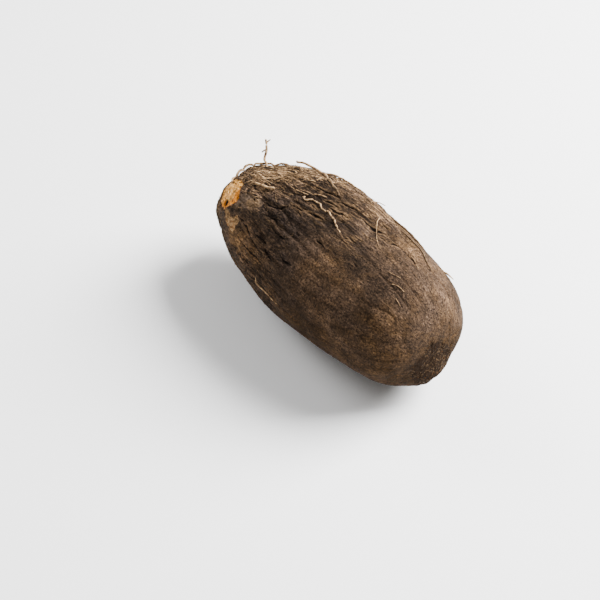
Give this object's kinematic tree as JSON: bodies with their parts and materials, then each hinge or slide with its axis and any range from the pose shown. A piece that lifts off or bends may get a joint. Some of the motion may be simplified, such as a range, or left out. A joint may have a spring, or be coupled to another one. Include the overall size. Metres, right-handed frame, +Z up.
{
  "type": "yam tuber",
  "caption": "Whole fresh yam lying on its side: narrow head with a bare scar, broad blunt foot, rough brown bark-like skin with long furrows and wiry rootlets.",
  "frame": {"origin": "under the centre of the bounding box, on the surface the yam rests on", "axes": "+X along the yam from the narrow head to the broad foot, +Z up, +Y to the side away from the scar"},
  "size_m": [0.2202, 0.1042, 0.0987],
  "materials": {
    "bark": "rough, dusty, matt brown skin with straw-coloured rootlets"
  },
  "bodies": {
    "root": {"tuber": "bark"}
  },
  "joints": []
}
